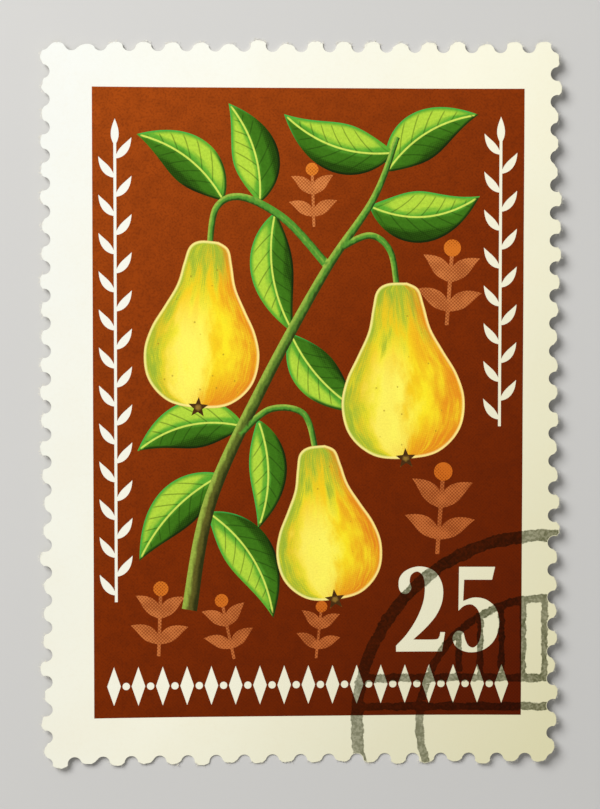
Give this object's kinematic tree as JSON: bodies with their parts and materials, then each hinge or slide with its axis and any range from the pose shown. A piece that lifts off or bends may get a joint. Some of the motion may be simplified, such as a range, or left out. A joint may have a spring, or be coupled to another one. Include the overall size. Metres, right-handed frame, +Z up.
{
  "type": "postage stamp",
  "caption": "Used perforated stamp lying face up, its sides gently curled: a panel printed with a fruit branch, figures and ornament in a bare margin, a ring cancel over one corner.",
  "frame": {"origin": "on the surface that the stamp lies on, under the middle of the sheet", "axes": "+Z up out of the printed face, +Y towards the top of the design, +X to the design's right"},
  "size_m": [0.03, 0.042, 0.0007],
  "materials": {
    "stamp_paper": "matt coated face, rough torn edge",
    "ground_ink": "satin offset ink, red brown",
    "pear_ink": "satin offset ink, yellow shaded green and orange",
    "leaf_ink": "satin offset ink, green with a light and a dark side",
    "branch_ink": "satin offset ink, olive green",
    "calyx_ink": "satin offset ink, near black",
    "sprig_tint": "halftone tint, pale pinkish brown",
    "berry_tint": "halftone tint, orange",
    "cancel_ink": "thin worn oil ink, grey green"
  },
  "bodies": {
    "root": {"berry_tint_1": "berry_tint", "berry_tint_2": "berry_tint", "berry_tint_3": "berry_tint", "berry_tint_4": "berry_tint", "berry_tint_5": "berry_tint", "berry_tint_6": "berry_tint", "branch_ink": "branch_ink", "calyx_ink_1": "calyx_ink", "calyx_ink_2": "calyx_ink", "calyx_ink_3": "calyx_ink", "cancel_ink": "cancel_ink", "ground_ink_1": "ground_ink", "ground_ink_2": "ground_ink", "ground_ink_3": "ground_ink", "ground_ink_4": "ground_ink", "ground_ink_5": "ground_ink", "ground_ink_6": "ground_ink", "leaf_ink_1": "leaf_ink", "leaf_ink_10": "leaf_ink", "leaf_ink_11": "leaf_ink", "leaf_ink_2": "leaf_ink", "leaf_ink_3": "leaf_ink", "leaf_ink_4": "leaf_ink", "leaf_ink_5": "leaf_ink", "leaf_ink_6": "leaf_ink", "leaf_ink_7": "leaf_ink", "leaf_ink_8": "leaf_ink", "leaf_ink_9": "leaf_ink", "paper_sheet": "stamp_paper", "pear_ink_1": "pear_ink", "pear_ink_2": "pear_ink", "pear_ink_3": "pear_ink", "sprig_tint_1": "sprig_tint", "sprig_tint_2": "sprig_tint", "sprig_tint_3": "sprig_tint", "sprig_tint_4": "sprig_tint", "sprig_tint_5": "sprig_tint", "sprig_tint_6": "sprig_tint"}
  },
  "joints": []
}
